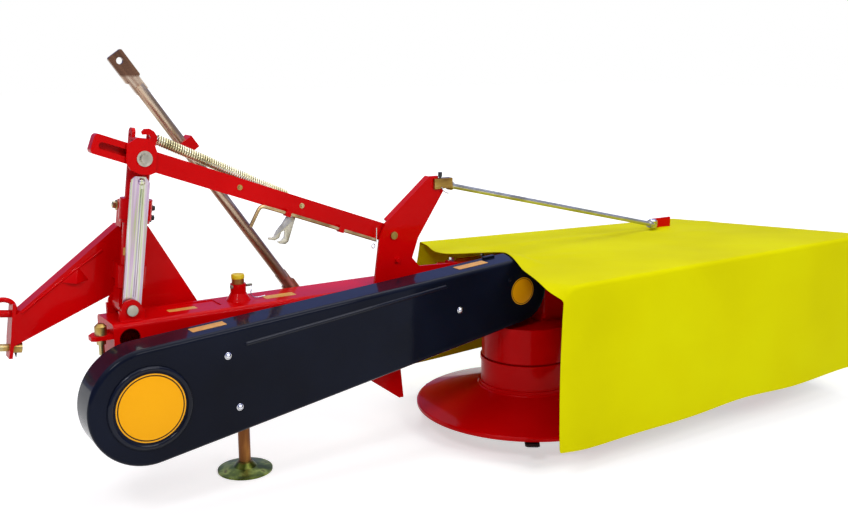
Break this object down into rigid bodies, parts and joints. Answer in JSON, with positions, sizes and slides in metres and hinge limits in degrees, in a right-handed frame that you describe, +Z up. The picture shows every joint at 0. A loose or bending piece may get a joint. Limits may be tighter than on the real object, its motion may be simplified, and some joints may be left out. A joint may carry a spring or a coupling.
{
  "type": "drum mower",
  "caption": "Side-mounted drum mower for a three-point hitch: belt-driven counter-rotating drums under a cloth hood, hinged arm, headstock and parking stand.",
  "frame": {"origin": "middle of the flat underside of the inner skid dish, on the ground and on the inner drum's axis", "axes": "+Z up, +Y the way of travel, +X out to the mowing side"},
  "size_m": [2.9987, 0.98, 1.3172],
  "materials": {
    "red_paint": "gloss red enamel",
    "dark_paint": "gloss blue-black enamel",
    "zinc_plate": "clear zinc plate",
    "yellow_zinc": "yellow zinc plate",
    "hood_cloth": "coated yellow cloth",
    "black_steel": "black scale",
    "skid_steel": "bare steel",
    "black_plastic": "moulded"
  },
  "bodies": {
    "frame": {"main_arm": "red_paint", "stand_sleeve": "red_paint", "mast_hinge_bolt": "zinc_plate", "stay_bolt": "zinc_plate", "belt_guard": "dark_paint", "guard_back_plate": "dark_paint", "gearcase": "red_paint", "gear_beam": "red_paint", "outer_gearcase": "red_paint", "input_housing": "red_paint", "tension_bolt": "yellow_zinc", "upright_bracket": "red_paint", "bar_bolt": "zinc_plate", "keel_plate": "red_paint", "hood_cloth": "hood_cloth", "hood_frame": "red_paint", "hood_brace": "zinc_plate", "brace_knob": "black_plastic", "inner_drum_collar": "red_paint", "outer_drum_collar": "red_paint"},
    "mast": {"mast": "red_paint", "mast_top_pin": "zinc_plate", "mast_link": "yellow_zinc"},
    "headstock": {"headstock_frame": "red_paint", "headstock_collars": "red_paint", "hitch_pins": "yellow_zinc"},
    "top_bar": {"top_bar": "red_paint", "relief_spring": "zinc_plate", "latch_rod": "zinc_plate", "latch_fork": "zinc_plate"},
    "stay": {"stay_rod": "yellow_zinc", "stay_collar": "red_paint"},
    "stand": {"stand_leg": "yellow_zinc"},
    "inner_rotor": {"inner_drum": "red_paint", "inner_knives": "black_steel"},
    "outer_rotor": {"outer_drum": "red_paint", "outer_knives": "black_steel"},
    "inner_skid": {"inner_skid": "skid_steel"},
    "outer_skid": {"outer_skid": "skid_steel"},
    "input": {"input_shaft": "skid_steel"}
  },
  "joints": [
    {"name": "mast_tilt", "type": "hinge", "parent": "frame", "child": "mast", "pos_m": [-1.368, 0.1, 0.59], "axis": [0, -1, 0], "range_deg": [0, 13]},
    {"name": "bar_swing", "type": "hinge", "parent": "frame", "child": "top_bar", "pos_m": [-0.503, 0.108, 0.723], "axis": [0, -1, 0], "range_deg": [0, 2.4]},
    {"name": "headstock_swing", "type": "hinge", "parent": "mast", "child": "headstock", "pos_m": [-1.35412, 0.172, 0.58814], "axis": [0.1331, 0, 0.9911], "range_deg": [0, 40]},
    {"name": "stay_swing", "type": "hinge", "parent": "frame", "child": "stay", "pos_m": [-0.774, 0.244, 0.52], "axis": [0, 1, 0], "range_deg": [0, 60]},
    {"name": "stand_slide", "type": "slide", "parent": "frame", "child": "stand", "axis": [0, 0, 1], "range_m": [0, 0.3]},
    {"name": "inner_drum_spin", "type": "hinge", "parent": "frame", "child": "inner_rotor", "pos_m": [0, 0, 0.2], "axis": [0, 0, 1], "continuous": true},
    {"name": "outer_drum_spin", "type": "hinge", "parent": "frame", "child": "outer_rotor", "pos_m": [0.825, 0, 0.2], "axis": [0, 0, 1], "continuous": true},
    {"name": "input_spin", "type": "hinge", "parent": "frame", "child": "input", "pos_m": [-1.39, 0.2, 0.358], "axis": [0, 1, 0], "continuous": true},
    {"name": "inner_skid_spin", "type": "hinge", "parent": "frame", "child": "inner_skid", "pos_m": [0, 0, 0.02], "axis": [0, 0, 1], "continuous": true},
    {"name": "outer_skid_spin", "type": "hinge", "parent": "frame", "child": "outer_skid", "pos_m": [0.825, 0, 0.02], "axis": [0, 0, 1], "continuous": true}
  ],
  "couplings": [
    {"joint": "bar_swing", "follows": "mast_tilt", "ratio": 0.142},
    {"joint": "outer_drum_spin", "follows": "inner_drum_spin", "ratio": -1},
    {"joint": "input_spin", "follows": "inner_drum_spin", "ratio": 0.3}
  ]
}
